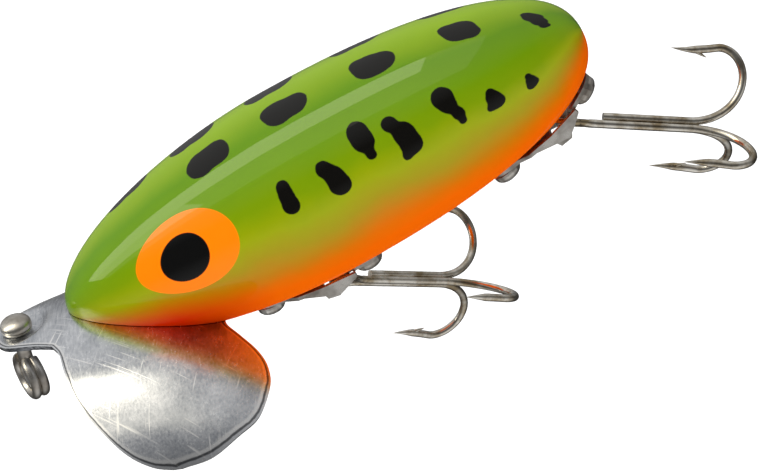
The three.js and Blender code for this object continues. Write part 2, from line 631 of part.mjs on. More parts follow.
['belly', 'tail'].forEach((place, i) => {
  const h = hanger(hangersAt[i]);
  const treble = trebleFrame(h, TREBLE_POSES[i]);
  lure.add(piece(`${place}_hanger_plate`, hangerPlate(h), nickel(), h.frame));
  lure.add(piece(`${place}_hanger_strap`, hangerStrap(h), nickel(), h.frame));
  const fastener = () => screw(HANGER_SHEET + HANGER_SEAT);
  lure.add(piece(`${place}_hanger_screw_front`, fastener(), nickel(), bellyFrame(hangersAt[i])));
  lure.add(piece(`${place}_hanger_screw_rear`, fastener(), nickel(), bellyFrame(h.rear)));
  lure.add(piece(`${place}_treble_double`, doubleHook(), nickel(), treble));
  lure.add(piece(`${place}_treble_single`, singleHook(), nickel(), treble));
});

lure.position.copy(eyeCentre).negate();
const part = new THREE.Group();
part.add(lure);

export default part;
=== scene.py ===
import json
import math

import bmesh
import bpy
from mathutils import Matrix, Vector
from mathutils.kdtree import KDTree


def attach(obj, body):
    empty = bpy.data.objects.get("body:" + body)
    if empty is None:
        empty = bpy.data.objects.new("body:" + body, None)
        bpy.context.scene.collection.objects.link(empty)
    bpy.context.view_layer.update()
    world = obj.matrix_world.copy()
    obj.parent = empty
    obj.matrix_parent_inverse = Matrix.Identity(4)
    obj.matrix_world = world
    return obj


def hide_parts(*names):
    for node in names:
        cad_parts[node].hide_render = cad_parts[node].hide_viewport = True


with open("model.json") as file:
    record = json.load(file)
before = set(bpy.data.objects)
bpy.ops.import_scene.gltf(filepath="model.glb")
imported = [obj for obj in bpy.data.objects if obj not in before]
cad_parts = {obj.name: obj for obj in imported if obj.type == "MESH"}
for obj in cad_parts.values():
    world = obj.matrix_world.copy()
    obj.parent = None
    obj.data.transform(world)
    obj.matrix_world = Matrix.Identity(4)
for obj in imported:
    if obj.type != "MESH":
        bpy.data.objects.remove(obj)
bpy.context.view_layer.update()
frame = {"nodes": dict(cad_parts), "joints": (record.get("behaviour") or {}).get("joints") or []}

# The view. The lure is seen from its left and a little from above and behind, and the picture
# is rolled so that the lure climbs from lower left to upper right, through a long lens.
CAMERA_AT = (0.099978, -0.277228, 0.110555)
VIEW_TURN = math.radians(10.3)
VIEW_HEIGHT = math.radians(22.6)
VIEW_ROLL = math.radians(-32.6)
LENS_MM = 110.9
SENSOR_MM = 36

back = Vector((math.sin(VIEW_TURN) * math.cos(VIEW_HEIGHT),
               -math.cos(VIEW_TURN) * math.cos(VIEW_HEIGHT), math.sin(VIEW_HEIGHT)))
level = Vector((math.cos(VIEW_TURN), math.sin(VIEW_TURN), 0))
rise = back.cross(level)
right = level * math.cos(VIEW_ROLL) + rise * math.sin(VIEW_ROLL)
camera_data = bpy.data.cameras.new("camera")
camera_data.lens = LENS_MM
camera_data.sensor_width = SENSOR_MM
camera = bpy.data.objects.new("camera", camera_data)
camera.matrix_world = Matrix.Translation(CAMERA_AT) @ Matrix(
    (right, back.cross(right), back)).transposed().to_4x4()
bpy.context.scene.collection.objects.link(camera)
bpy.context.scene.camera = camera


# The studio. The lure hangs by its line tie, well above a pale paper floor. A long warm softbox
# hangs over its nose and left side, and a low lamp by the camera fills in. Two lamps that nothing
# mirrors wash the paper, so that it looks as pale from every side. Sizes here are in metres.
FLOOR_BELOW = 0.4
FLOOR_SIZE = 7.0
SOFTBOX_HEIGHT = 0.5
CORE_HEIGHT = SOFTBOX_HEIGHT - 0.005
WASH_HEIGHT = 1.6
WARM_WHITE = (1, 0.92, 0.72)
FILL_WIDTH = 1.4
FILL_DEPTH = 0.5
FILL_BRIGHTNESS = 1.15
FILL_AT = (0, -0.7, -0.1)
FILL_BACK = (0, -1, -0.15)


def linear(hex_colour):
    """The linear colour of an sRGB hex value, for a shader socket."""
    channels = [int(hex_colour[i:i + 2], 16) / 255 for i in (0, 2, 4)]
    return [c / 12.92 if c <= 0.04045 else ((c + 0.055) / 1.055) ** 2.4 for c in channels] + [1.0]


def add_node(owner, kind, links=None, **settings):
    """Adds a node. Settings are its properties; links fill its sockets with values or outputs."""
    node = owner.node_tree.nodes.new(kind)
    for name, value in settings.items():
        setattr(node, name, value)
    for socket, value in (links or {}).items():
        if isinstance(value, bpy.types.NodeSocket):
            owner.node_tree.links.new(value, node.inputs[socket])
        else:
            node.inputs[socket].default_value = value
    return node


def new_finish(name, **surface):
    """A material of that name, with its Principled shader's sockets set."""
    material = bpy.data.materials.new(name)
    material.use_nodes = True
    shader = material.node_tree.nodes["Principled BSDF"]
    for socket, value in surface.items():
        shader.inputs[socket.replace("_", " ")].default_value = value
    return material, shader


# Matt drawing paper gives the eye an even pale ground with no shine. Its pulp is drawn as faint
# clouds of about 8 mm, 900 across the floor, since the fibres themselves are too fine to show.
paper, paper_shader = new_finish("studio_paper", Roughness=0.9)
paper_shader.inputs["Base Color"].default_value = linear("D2D2D2")
paper_grain = add_node(paper, "ShaderNodeTexNoise", {"Scale": 900.0, "Detail": 4.0})
paper_bump = add_node(paper, "ShaderNodeBump", {
    "Strength": 0.04, "Height": paper_grain.outputs["Fac"]})
paper.node_tree.links.new(paper_bump.outputs["Normal"], paper_shader.inputs["Normal"])

floor_mesh = bpy.data.meshes.new("floor")
half = FLOOR_SIZE / 2
floor_mesh.from_pydata([(-half, -half, 0), (half, -half, 0), (half, half, 0), (-half, half, 0)],
                       [], [(0, 1, 2, 3)])
floor = bpy.data.objects.new("floor", floor_mesh)
floor.location = (0, 0, -FLOOR_BELOW)
floor_mesh.materials.append(paper)
floor.visible_glossy = False
bpy.context.scene.collection.objects.link(floor)

bpy.context.scene.view_settings.view_transform = "Standard"

# The room that the lure mirrors. A white wall behind it is brighter higher up. The near side is
# dim, but for the paper on the table below and the ceiling overhead.
world = bpy.data.worlds.new("studio_walls")
world.use_nodes = True
sight_line = add_node(world, "ShaderNodeTexCoord")
sight = add_node(world, "ShaderNodeSeparateXYZ", {0: sight_line.outputs["Generated"]})
wall_light = add_node(world, "ShaderNodeMapRange", {
    "Value": sight.outputs["Z"], "From Min": -0.3, "From Max": 0.7, "To Min": 0.06, "To Max": 0.6})
table_light = add_node(world, "ShaderNodeMapRange", {
    "Value": sight.outputs["Z"], "From Min": -0.75, "From Max": 0.0, "To Min": 0.75, "To Max": 0.1})
overhead_light = add_node(world, "ShaderNodeMapRange", {
    "Value": sight.outputs["Z"], "From Min": 0.35, "From Max": 0.85, "To Min": 0.06, "To Max": 0.5})
near_light = add_node(world, "ShaderNodeMath", {
    0: table_light.outputs["Result"], 1: overhead_light.outputs["Result"]}, operation="MAXIMUM")
wall_side = add_node(world, "ShaderNodeMapRange", {
    "Value": sight.outputs["Y"], "From Min": -0.55, "From Max": 0.3, "To Min": 0.0, "To Max": 1.0})
room_light = add_node(world, "ShaderNodeMix", {
    0: wall_side.outputs["Result"], 2: near_light.outputs[0], 3: wall_light.outputs["Result"]},
    data_type="FLOAT")
# Past the floor's edge the picture shows plain white, and only light and reflections see the room
seen_by = add_node(world, "ShaderNodeLightPath")
backdrop_light = add_node(world, "ShaderNodeMix", {
    0: seen_by.outputs["Is Camera Ray"], 2: room_light.outputs[0], 3: 1.0}, data_type="FLOAT")
backdrop = world.node_tree.nodes["Background"]
backdrop.inputs["Color"].default_value = (1, 1, 1, 1)
world.node_tree.links.new(backdrop_light.outputs[0], backdrop.inputs["Strength"])
bpy.context.scene.world = world


def add_lamp(name, width, depth, place, brightness, in_gloss):
    """A soft rectangular lamp that shines down. The lure mirrors it only where it is in_gloss."""
    lamp_data = bpy.data.lights.new(name, "AREA")
    lamp_data.shape = "RECTANGLE"
    lamp_data.size = width
    lamp_data.size_y = depth
    lamp_data.energy = brightness * math.pi * width * depth
    lamp_data.color = WARM_WHITE if in_gloss else (1, 1, 1)
    lamp = bpy.data.objects.new(name, lamp_data)
    lamp.location = place
    lamp.visible_glossy = in_gloss
    lamp.visible_camera = False
    bpy.context.scene.collection.objects.link(lamp)
    return lamp


# Each lamp overhead: its low and high corner, its height, its brightness, and if it is mirrored
for name, (x0, y0), (x1, y1), height, brightness, in_gloss in (
        ("softbox", (-1.0, -0.4), (0.3, -0.005), SOFTBOX_HEIGHT, 0.6, True),
        ("softbox_core", (-1.0, -0.15), (0.15, -0.005), CORE_HEIGHT, 2.6, True),
        ("softbox_nose", (-1.0, -0.3), (-0.25, -0.15), CORE_HEIGHT, 2.0, True),
        ("floor_wash_behind", (-1.6, 0.7), (1.6, 3.0), WASH_HEIGHT, 4.8, False),
        ("floor_wash_ahead", (-1.6, -3.4), (1.6, -1.1), WASH_HEIGHT, 2.7, False)):
    middle = ((x0 + x1) / 2, (y0 + y1) / 2, height)
    add_lamp(name, x1 - x0, y1 - y0, middle, brightness, in_gloss)
fill = add_lamp("fill_beside_camera", FILL_WIDTH, FILL_DEPTH, FILL_AT, FILL_BRIGHTNESS, False)
fill.rotation_euler = Vector(FILL_BACK).to_track_quat("Z", "Y").to_euler()


# The body. Two moulded ABS halves are welded along the lure's middle plane, turned to one smooth
# egg-ended form, sprayed, and dipped in clear coat. The chin is cut to the curve of the lip. From
# here on sizes are in millimetres, and places are measured from the lure's nose.
TIE_EYE_AT = Vector((-9.69409, 0.93773, -5.41115))
BODY_LENGTH = 76.0
BODY_RADIUS = 12.76
HALF_GIRTH = 40.0
WIDEST_AT = 35.1
NOSE_CURVE = (1.76, 1.97)
TAIL_CURVE = (2.35, 2.29)
TIP_RADIUS = 0.02
SAME_POINT = 0.0001
AROUND_BODY = 144
ALONG_BODY = 72
# The dish of the lip, which the chin is cut to, and the block that cuts it
LIP_LONG_RADIUS = 44.0
LIP_CROSS_RADIUS = 26.0
LIP_CREST = (-11.0, 2.0)
SEAT_GAP = 0.1
CHIN_START = -2
CHIN_LENGTH = 30
CHIN_HALF_WIDTH = BODY_RADIUS * 1.2
CHIN_DEPTH = 3 * BODY_RADIUS
CHIN_STEPS = 60


def metres(x, y, z):
    """A point given in millimetres from the lure's nose, in the frame's metres from the tie's eye."""
    return (Vector((x, y, z)) - TIE_EYE_AT) / 1000


def dish_height(x, y):
    """The height of the lip's upper face, which is round both ways."""
    along = math.sqrt(LIP_LONG_RADIUS ** 2 - (x - LIP_CREST[0]) ** 2) - LIP_LONG_RADIUS
    across = math.sqrt(max(LIP_CROSS_RADIUS ** 2 - y * y, 0)) - LIP_CROSS_RADIUS
    return LIP_CREST[1] + along + across


def body_half_profile(curve, reach, sign, steps):
    """Places and radii from the widest ring to one end, on a curve with those two powers."""
    points = []
    for i in range(steps + 1):
        angle = math.pi / 2 * i / steps
        radius = BODY_RADIUS * max(math.cos(angle), 0) ** (2 / curve[1])
        points.append((WIDEST_AT + sign * reach * math.sin(angle) ** (2 / curve[0]), radius))
    return points


def add_piece(name, vertices, faces, material, sharp_angle=40):
    """Makes a mesh object, smooth but for its sharp edges."""
    mesh = bpy.data.meshes.new(name)
    mesh.from_pydata([tuple(v) for v in vertices], [], faces)
    mesh.materials.append(material)
    piece = bpy.data.objects.new(name, mesh)
    bpy.context.scene.collection.objects.link(piece)
    tidy = bmesh.new()
    tidy.from_mesh(mesh)
    bmesh.ops.remove_doubles(tidy, verts=tidy.verts, dist=SAME_POINT / 1000)
    bmesh.ops.recalc_face_normals(tidy, faces=tidy.faces)
    tidy.to_mesh(mesh)
    tidy.free()
    mesh.shade_smooth()
    mesh.set_sharp_from_angle(angle=math.radians(sharp_angle))
    return piece


def turned_faces(rings, around):
    """Faces of a closed form made of rings of points, with a cap over each end."""
    faces = []
    for i in range(rings - 1):
        for k in range(around):
            n = (k + 1) % around
            faces.append((i * around + k, i * around + n, (i + 1) * around + n, (i + 1) * around + k))
    faces.append(tuple(range(around)))
    faces.append(tuple((rings - 1) * around + k for k in reversed(range(around))))
    return faces


def apply_modifiers(piece, sharp_angle):
    """Keeps what the modifiers make as the piece's own mesh."""
    graph = bpy.context.evaluated_depsgraph_get()
    mesh = bpy.data.meshes.new_from_object(piece.evaluated_get(graph))
    piece.modifiers.clear()
    piece.data = mesh
    mesh.shade_smooth()
    mesh.set_sharp_from_angle(angle=math.radians(sharp_angle))


# Airbrushed and clear-coated ABS gives the eye soft colours that fade into each other, and over
# them the sharp wet-looking reflections of the coat, so the paint has no shine of its own, but for a
# painted reflection in its green along the back. Paint places run along the lure from the nose, and
# round it from the top line, where it is widest.
paint, paint_shader = new_finish("sprayed_and_clear_coated_ABS", Roughness=0.42, IOR=1.5,
                                 Specular_IOR_Level=0.0, Coat_Roughness=0.025, Coat_IOR=1.5)
texture_place = add_node(paint, "ShaderNodeTexCoord")
from_nose = add_node(paint, "ShaderNodeVectorMath", {
    0: texture_place.outputs["Object"], 1: tuple(TIE_EYE_AT / 1000)}, operation="ADD")
in_mm = add_node(paint, "ShaderNodeVectorMath", {
    0: from_nose.outputs[0], "Scale": 1000.0}, operation="SCALE")
xyz = add_node(paint, "ShaderNodeSeparateXYZ", {0: in_mm.outputs[0]})
left_y = add_node(paint, "ShaderNodeMath", {0: xyz.outputs["Y"], 1: -1.0}, operation="MULTIPLY")
round_angle = add_node(paint, "ShaderNodeMath", {
    0: left_y.outputs[0], 1: xyz.outputs["Z"]}, operation="ARCTAN2")
round_mm = add_node(paint, "ShaderNodeMath", {
    0: round_angle.outputs[0], 1: BODY_RADIUS}, operation="MULTIPLY").outputs[0]
round_both = add_node(paint, "ShaderNodeMath", {0: round_mm}, operation="ABSOLUTE").outputs[0]

# Sprayed from green on the back to orange on the belly, with a soft edge between. The colours run
# from the top line to the belly's, half the girth away. The sprayed colour drifts up or down in
# clouds of about 11 mm, the green reaches lower over the rear half, and the orange climbs at the
# very tail. Its lighter green along the top line and darker band just below are painted reflection.
SPRAY_DRIFT = 5.0
spray_cloud = add_node(paint, "ShaderNodeTexNoise", {
    "Vector": in_mm.outputs[0], "Scale": 0.09, "Detail": 3.0})
cloud = add_node(paint, "ShaderNodeMath", {
    0: spray_cloud.outputs["Fac"], 1: 0.5}, operation="SUBTRACT")
cloud_mm = add_node(paint, "ShaderNodeMath", {
    0: cloud.outputs[0], 1: SPRAY_DRIFT}, operation="MULTIPLY")
drifted = add_node(paint, "ShaderNodeMath", {
    0: round_both, 1: cloud_mm.outputs[0]}, operation="ADD")
tail_lift = add_node(paint, "ShaderNodeMapRange", {
    "Value": xyz.outputs["X"], "From Min": 70.0, "From Max": 76.0, "To Min": 0.0, "To Max": 5.0})
green_reach = add_node(paint, "ShaderNodeMapRange", {
    "Value": xyz.outputs["X"], "From Min": 45.0, "From Max": 64.0, "To Min": 0.0, "To Max": -1.6})
lifted = add_node(paint, "ShaderNodeMath", {
    0: tail_lift.outputs["Result"], 1: green_reach.outputs["Result"]}, operation="ADD")
spray_round = add_node(paint, "ShaderNodeMath", {
    0: drifted.outputs[0], 1: lifted.outputs[0]}, operation="ADD")
down_side = add_node(paint, "ShaderNodeMath", {
    0: spray_round.outputs[0], 1: HALF_GIRTH}, operation="DIVIDE", use_clamp=True)
spray_and_painted_reflection = add_node(paint, "ShaderNodeValToRGB", {"Fac": down_side.outputs[0]})
spray_and_reflection_ramp = spray_and_painted_reflection.color_ramp
# Painted reflection: the lighter greens at 0 and 0.09 stand for the wall mirrored in the coat, and
# the darker green at 0.17 for the dark gap beside the softbox.
spray_and_reflection_ramp.elements[0].position = 0.0
spray_and_reflection_ramp.elements[0].color = linear("6E8C00")
spray_and_reflection_ramp.elements[1].position = 1.0
spray_and_reflection_ramp.elements[1].color = linear("E65C00")
for place, hex_colour in ((0.09, "668400"), (0.17, "527A00"), (0.3, "608600"), (0.4, "6E8A00"),
                          (0.48, "8C9600"), (0.55, "988600"), (0.61, "B27400"), (0.67, "D06600"),
                          (0.73, "E26000")):
    spray_and_reflection_ramp.elements.new(place).color = linear(hex_colour)

# A red-orange flush under the chin, where the lip meets the body
chin = add_node(paint, "ShaderNodeMapRange", {
    "Value": xyz.outputs["X"], "From Min": 27.0, "From Max": 14.0, "To Min": 0.0, "To Max": 1.0})
chin_low = add_node(paint, "ShaderNodeMapRange", {
    "Value": round_both, "From Min": 20.0, "From Max": 27.0, "To Min": 0.0, "To Max": 1.0})
flush = add_node(paint, "ShaderNodeMath", {
    0: chin.outputs["Result"], 1: chin_low.outputs["Result"]}, operation="MULTIPLY")
flushed = add_node(paint, "ShaderNodeMix", {
    0: flush.outputs[0], 6: spray_and_painted_reflection.outputs["Color"], 7: linear("D02800")}, data_type="RGBA")

# Spots of black lacquer, in a row each side of the top line and a row along each side. Each is a
# few round puffs run together, given by their place along and round the body and their radius.
# Their edge is soft over 0.12 mm, and wavers every 1.25 mm or so, as a cut stencil's does.
SIDE_SPOTS = (((35.1, 17.2, 1.1), (35.2, 15.8, 0.9), (35.3, 14.6, 0.8)),
              ((41.7, 17.8, 1.4), (41.6, 16.4, 1.1), (40.8, 15.1, 1.0)),
              ((46.6, 13.0, 1.3), (46.8, 14.5, 1.4), (46.9, 16.5, 0.6)),
              ((51.6, 16.0, 1.4), (50.6, 18.9, 0.5), (51.8, 17.8, 1.4), (50.5, 14.1, 1.0)),
              ((57.9, 15.8, 1.0), (58.6, 17.4, 0.8), (58.6, 18.7, 0.4), (57.7, 14.3, 1.4)),
              ((63.1, 18.0, 0.9), (62.2, 19.4, 0.4), (63.4, 19.1, 0.9), (63.0, 16.9, 0.3)),
              ((68.5, 19.9, 0.3), (67.8, 20.1, 0.6), (67.9, 18.1, 0.3), (68.0, 19.1, 0.5)))
BACK_SPOTS = (((26.8, 5.9, 2.1), (29.1, 5.6, 2.0), (30.1, 6.6, 0.6)),
              ((38.6, 5.1, 2.1), (40.9, 5.1, 1.8), (37.1, 4.3, 0.8)),
              ((51.2, 5.1, 2.1), (53.0, 5.3, 1.8), (49.7, 3.9, 0.8)),
              ((61.4, 4.2, 0.8), (63.1, 5.4, 2.1), (64.5, 6.7, 1.0)),
              ((71.1, 5.6, 0.5), (71.7, 6.8, 1.1), (72.2, 8.5, 0.9), (72.6, 10.0, 0.6)),
              ((13.8, -1.6, 2.1), (16.5, -1.5, 2.1)), ((24.7, -1.4, 2.2), (27.4, -1.4, 2.2)),
              ((36.4, -1.8, 2.2), (39.1, -2.0, 2.2)), ((48.7, -2.9, 2.1), (51.3, -3.1, 2.1)),
              ((60.6, -3.3, 2.0), (62.7, -3.5, 1.9)), ((69.8, -3.7, 1.4), (71.0, -4.7, 1.2)))
RUN_TOGETHER = 1.6
EDGE_SOFT = 0.06
STENCIL_WAVER = 0.22

stencil_wobble = add_node(paint, "ShaderNodeTexNoise", {
    "Vector": in_mm.outputs[0], "Scale": 0.8, "Detail": 2.0, "Roughness": 0.5})
wobble = add_node(paint, "ShaderNodeVectorMath", {
    0: stencil_wobble.outputs["Color"], 1: (0.5, 0.5, 0.5)}, operation="SUBTRACT")
wobble_mm = add_node(paint, "ShaderNodeVectorMath", {
    0: wobble.outputs[0], "Scale": STENCIL_WAVER}, operation="SCALE")


def stencil_place(round_socket):
    """A place on the painted skin laid flat, moved by the stencil's wobble."""
    flat = add_node(paint, "ShaderNodeCombineXYZ", {"X": xyz.outputs["X"], "Y": round_socket})
    moved = add_node(paint, "ShaderNodeVectorMath", {
        0: flat.outputs[0], 1: wobble_mm.outputs[0]}, operation="ADD")
    return add_node(paint, "ShaderNodeVectorMath", {
        0: moved.outputs[0], 1: (1, 1, 0)}, operation="MULTIPLY").outputs[0]


def spot_edge(place, puffs):
    """How far a point is outside a spot."""
    edge = None
    for along, around, radius in puffs:
        away = add_node(paint, "ShaderNodeVectorMath", {
            0: place, 1: (along, around, 0)}, operation="DISTANCE")
        outside = add_node(paint, "ShaderNodeMath", {
            0: away.outputs["Value"], 1: radius}, operation="SUBTRACT").outputs[0]
        if edge is None:
            edge = outside
        else:
            edge = add_node(paint, "ShaderNodeMath", {
                0: edge, 1: outside, 2: RUN_TOGETHER}, operation="SMOOTH_MIN").outputs[0]
    return edge


both_sides = stencil_place(round_both)
over_back = stencil_place(round_mm)
edges = [spot_edge(both_sides, puffs) for puffs in SIDE_SPOTS]
edges += [spot_edge(over_back, puffs) for puffs in BACK_SPOTS]
nearest_edge = edges[0]
for edge in edges[1:]:
    nearest_edge = add_node(paint, "ShaderNodeMath", {
        0: nearest_edge, 1: edge}, operation="MINIMUM").outputs[0]
lacquer = add_node(paint, "ShaderNodeMapRange", {
    "Value": nearest_edge, "From Min": -EDGE_SOFT, "From Max": EDGE_SOFT,
    "To Min": 1.0, "To Max": 0.0})
spotted = add_node(paint, "ShaderNodeMix", {
    0: lacquer.outputs["Result"], 6: flushed.outputs[2], 7: linear("070604")}, data_type="RGBA")

# The eye: an orange oval, and a round black pupil that the clear coat stands over. Each oval: its
# place along and round the body, its half length and height, its tilt in degrees, the softness of
# its edge as a share of its size, and its colour.
eye_place = add_node(paint, "ShaderNodeCombineXYZ", {"X": xyz.outputs["X"], "Y": round_both})
painted = spotted.outputs[2]
for along, around, half_long, half_high, tilt, softness, hex_colour in (
        (20.1, 16.25, 7.4, 5.7, -2, 0.012, "FF7A00"),
        (19.7, 16.65, 3.65, 3.25, -35, 0.02, "060606")):
    mapped = add_node(paint, "ShaderNodeMapping", {
        "Vector": eye_place.outputs[0], "Location": (along, around, 0),
        "Rotation": (0, 0, math.radians(tilt)), "Scale": (half_long, half_high, 1)},
        vector_type="TEXTURE")
    flat = add_node(paint, "ShaderNodeVectorMath", {
        0: mapped.outputs[0], 1: (1, 1, 0)}, operation="MULTIPLY")
    from_middle = add_node(paint, "ShaderNodeVectorMath", {0: flat.outputs[0]}, operation="LENGTH")
    inside = add_node(paint, "ShaderNodeMapRange", {
        "Value": from_middle.outputs["Value"], "From Min": 1 - softness, "From Max": 1 + softness,
        "To Min": 1.0, "To Max": 0.0})
    painted = add_node(paint, "ShaderNodeMix", {
        0: inside.outputs["Result"], 6: painted, 7: linear(hex_colour)},
        data_type="RGBA").outputs[2]
paint.node_tree.links.new(painted, paint_shader.inputs["Base Color"])

# The clear coat shines over the back and sides and thins out under the belly. It has dried in slow
# waves of about 8 mm, with specks of dust 0.15 mm across and 1.4 mm apart, and it stands over the
# 0.4 mm bead of the weld along the middle. Each relief has its own share of the bump.
coat_left = add_node(paint, "ShaderNodeMapRange", {
    "Value": round_both, "From Min": 20.0, "From Max": 27.0, "To Min": 0.85, "To Max": 0.12})
paint.node_tree.links.new(coat_left.outputs["Result"], paint_shader.inputs["Coat Weight"])
coat_wave = add_node(paint, "ShaderNodeTexNoise", {
    "Vector": in_mm.outputs[0], "Scale": 0.12, "Detail": 1.0})
off_middle = add_node(paint, "ShaderNodeMath", {0: xyz.outputs["Y"]}, operation="ABSOLUTE")
weld = add_node(paint, "ShaderNodeMapRange", {
    "Value": off_middle.outputs[0], "From Min": 0.0, "From Max": 0.22,
    "To Min": 1.0, "To Max": 0.0}, interpolation_type="SMOOTHSTEP")
dust = add_node(paint, "ShaderNodeTexVoronoi", {"Vector": in_mm.outputs[0], "Scale": 0.7})
speck = add_node(paint, "ShaderNodeMapRange", {
    "Value": dust.outputs["Distance"], "From Min": 0.03, "From Max": 0.06,
    "To Min": 1.0, "To Max": 0.0})
relief = 0.0
for height, share in ((speck.outputs["Result"], 0.02), (weld.outputs["Result"], 0.05),
                      (coat_wave.outputs["Fac"], 0.35)):
    relief = add_node(paint, "ShaderNodeMath", {
        0: height, 1: share, 2: relief}, operation="MULTIPLY_ADD").outputs[0]
coat_bump = add_node(paint, "ShaderNodeBump", {
    "Strength": 0.35, "Distance": 0.0004, "Height": relief})
paint.node_tree.links.new(coat_bump.outputs["Normal"], paint_shader.inputs["Coat Normal"])

nose_profile = body_half_profile(NOSE_CURVE, WIDEST_AT, -1, ALONG_BODY)
tail_profile = body_half_profile(TAIL_CURVE, BODY_LENGTH - WIDEST_AT, 1, ALONG_BODY)
profile = [p for p in nose_profile[::-1] + tail_profile[1:] if p[1] > TIP_RADIUS]
shell_points = []
for x, radius in profile:
    for k in range(AROUND_BODY):
        angle = 2 * math.pi * k / AROUND_BODY
        shell_points.append(metres(x, radius * math.sin(angle), radius * math.cos(angle)))
shell = add_piece("painted_shell", shell_points, turned_faces(len(profile), AROUND_BODY), paint)

# A block with the lip's curve for its top cuts the chin
chin_points = []
for bottom in (None, -CHIN_DEPTH):
    for i in range(CHIN_STEPS + 1):
        for j in range(CHIN_STEPS + 1):
            x = CHIN_START + CHIN_LENGTH * i / CHIN_STEPS
            y = CHIN_HALF_WIDTH * (2 * j / CHIN_STEPS - 1)
            z = dish_height(x, y) + SEAT_GAP if bottom is None else bottom
            chin_points.append(metres(x, y, z))
row = CHIN_STEPS + 1
layer = row * row
chin_faces = []
for i in range(CHIN_STEPS):
    for j in range(CHIN_STEPS):
        a = i * row + j
        chin_faces.append((a, a + row, a + row + 1, a + 1))
        chin_faces.append((layer + a, layer + a + 1, layer + a + row + 1, layer + a + row))
    for a, b in ((i * row, (i + 1) * row), ((i + 1) * row + CHIN_STEPS, i * row + CHIN_STEPS),
                 (i + 1, i), (CHIN_STEPS * row + i, CHIN_STEPS * row + i + 1)):
        chin_faces.append((b, a, layer + a, layer + b))
chin_block = add_piece("chin_block", chin_points, chin_faces, paint)
chin_cut = shell.modifiers.new("cut", "BOOLEAN")
chin_cut.operation = "DIFFERENCE"
chin_cut.solver = "EXACT"
chin_cut.object = chin_block
apply_modifiers(shell, sharp_angle=35)
bpy.data.objects.remove(chin_block)
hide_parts("body_left_half", "body_right_half")
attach(shell, "lure")


# The lip. Aluminium sheet is sheared to a butterfly outline, pressed over a form that is round both
# ways, and brushed across. The shears leave a burr, whose bright line and the dark groove inside it
# are painted highlight and painted shade along the edge, and handling leaves fine scratches. Its
# tab has a flat seat for the line tie. The outlines give one half, which the other mirrors.
SHEET = 0.7
BURR = 0.11
TIE_AT = -7.35
TIE_TILT = math.radians(19.5)
TIE_SEAT_DEPTH = 0.64
TIE_SEAT_RADIUS = 2.6
TIE_SEAT_BLEND = 2.4
TAB_NOSE = ((-10.3, 0), (-10.15, 1.7), (-9.55, 3.2), (-8.4, 4.5), (-6.6, 5.5), (-4.2, 6.6),
            (-2.2, 7.65))
WING_FRONT = ((-2.2, 7.65), (-1.45, 9.4), (-1.3, 12.4), (-0.9, 15.9), (0.2, 18.9), (2.1, 21.7),
              (4.4, 22.98), (7.1, 23.38))
WING_REAR = ((19.9, 0), (19.6, 2.2), (18.3, 4), (18.1, 5.8), (19.2, 7.6), (20.6, 9.9), (21.1, 12.2),
             (20.6, 15.1), (18.5, 18.7), (15.4, 20.9), (11.5, 22.68), (7.1, 23.38))
SPLINE_STEPS = 24
TAB_STEPS = 24
WING_STEPS = 40
LIP_ROWS = 56
SLOPE_STEP = 0.02
EDGE_FINENESS = 5


def smoothstep(x):
    """0 below 0 and 1 above 1, with an easy rise between."""
    x = min(max(x, 0), 1)
    return x * x * (3 - 2 * x)


def lip_height(x, y):
    """The height of the lip's upper face, with the tie's flat seat sunk in its tab."""
    seat_height = dish_height(TIE_AT, 0) - TIE_SEAT_DEPTH - math.tan(TIE_TILT) * (x - TIE_AT)
    blend = smoothstep((math.hypot(x - TIE_AT, y) - TIE_SEAT_RADIUS) / TIE_SEAT_BLEND)
    return seat_height + (dish_height(x, y) - seat_height) * blend


def smooth_outline(points, steps):
    """Even points on a curve through the given ones, as a draughtsman's spline gives."""
    fine = []
    ends = [points[0]] + list(points) + [points[-1]]
    ends[0] = tuple(2 * a - b for a, b in zip(points[0], points[1]))
    ends[-1] = tuple(2 * a - b for a, b in zip(points[-1], points[-2]))
    for i in range(1, len(ends) - 2):
        before, start, end, after = ends[i - 1:i + 3]
        for k in range(SPLINE_STEPS):
            t = k / SPLINE_STEPS
            fine.append(tuple(0.5 * (2 * s + (e - b) * t + (2 * b - 5 * s + 4 * e - a) * t * t
                                     + (3 * s - b - 3 * e + a) * t ** 3)
                              for b, s, e, a in zip(before, start, end, after)))
    fine.append(points[-1])
    lengths = [0]
    for a, b in zip(fine, fine[1:]):
        lengths.append(lengths[-1] + math.dist(a, b))
    even = []
    at = 0
    for k in range(steps + 1):
        target = lengths[-1] * k / steps
        while at < len(fine) - 2 and lengths[at + 1] < target:
            at += 1
        span = lengths[at + 1] - lengths[at]
        t = (target - lengths[at]) / span if span else 0
        even.append(tuple(a + (b - a) * min(max(t, 0), 1) for a, b in zip(fine[at], fine[at + 1])))
    return even


# Bare brushed aluminium gives the eye a cool pale metal, whose reflections are drawn out along the
# lure by fine lines across it. Grime clouds it over every 8 mm or so.
brushed, brushed_shader = new_finish("brushed_bare_aluminium", Metallic=1.0, Anisotropic=0.45)
lip_place = add_node(brushed, "ShaderNodeTexCoord")
# Brush lines, really about 0.1 mm apart, are drawn at 0.3 mm so that they show, and 6 mm long
brush_space = add_node(brushed, "ShaderNodeMapping", {
    "Vector": lip_place.outputs["Object"], "Scale": (3300, 170, 3300)})
brush = add_node(brushed, "ShaderNodeTexNoise", {
    "Vector": brush_space.outputs[0], "Scale": 1.0, "Detail": 3.0, "Roughness": 0.65})
grime = add_node(brushed, "ShaderNodeTexNoise", {
    "Vector": lip_place.outputs["Object"], "Scale": 130.0, "Detail": 6.0, "Roughness": 0.65})
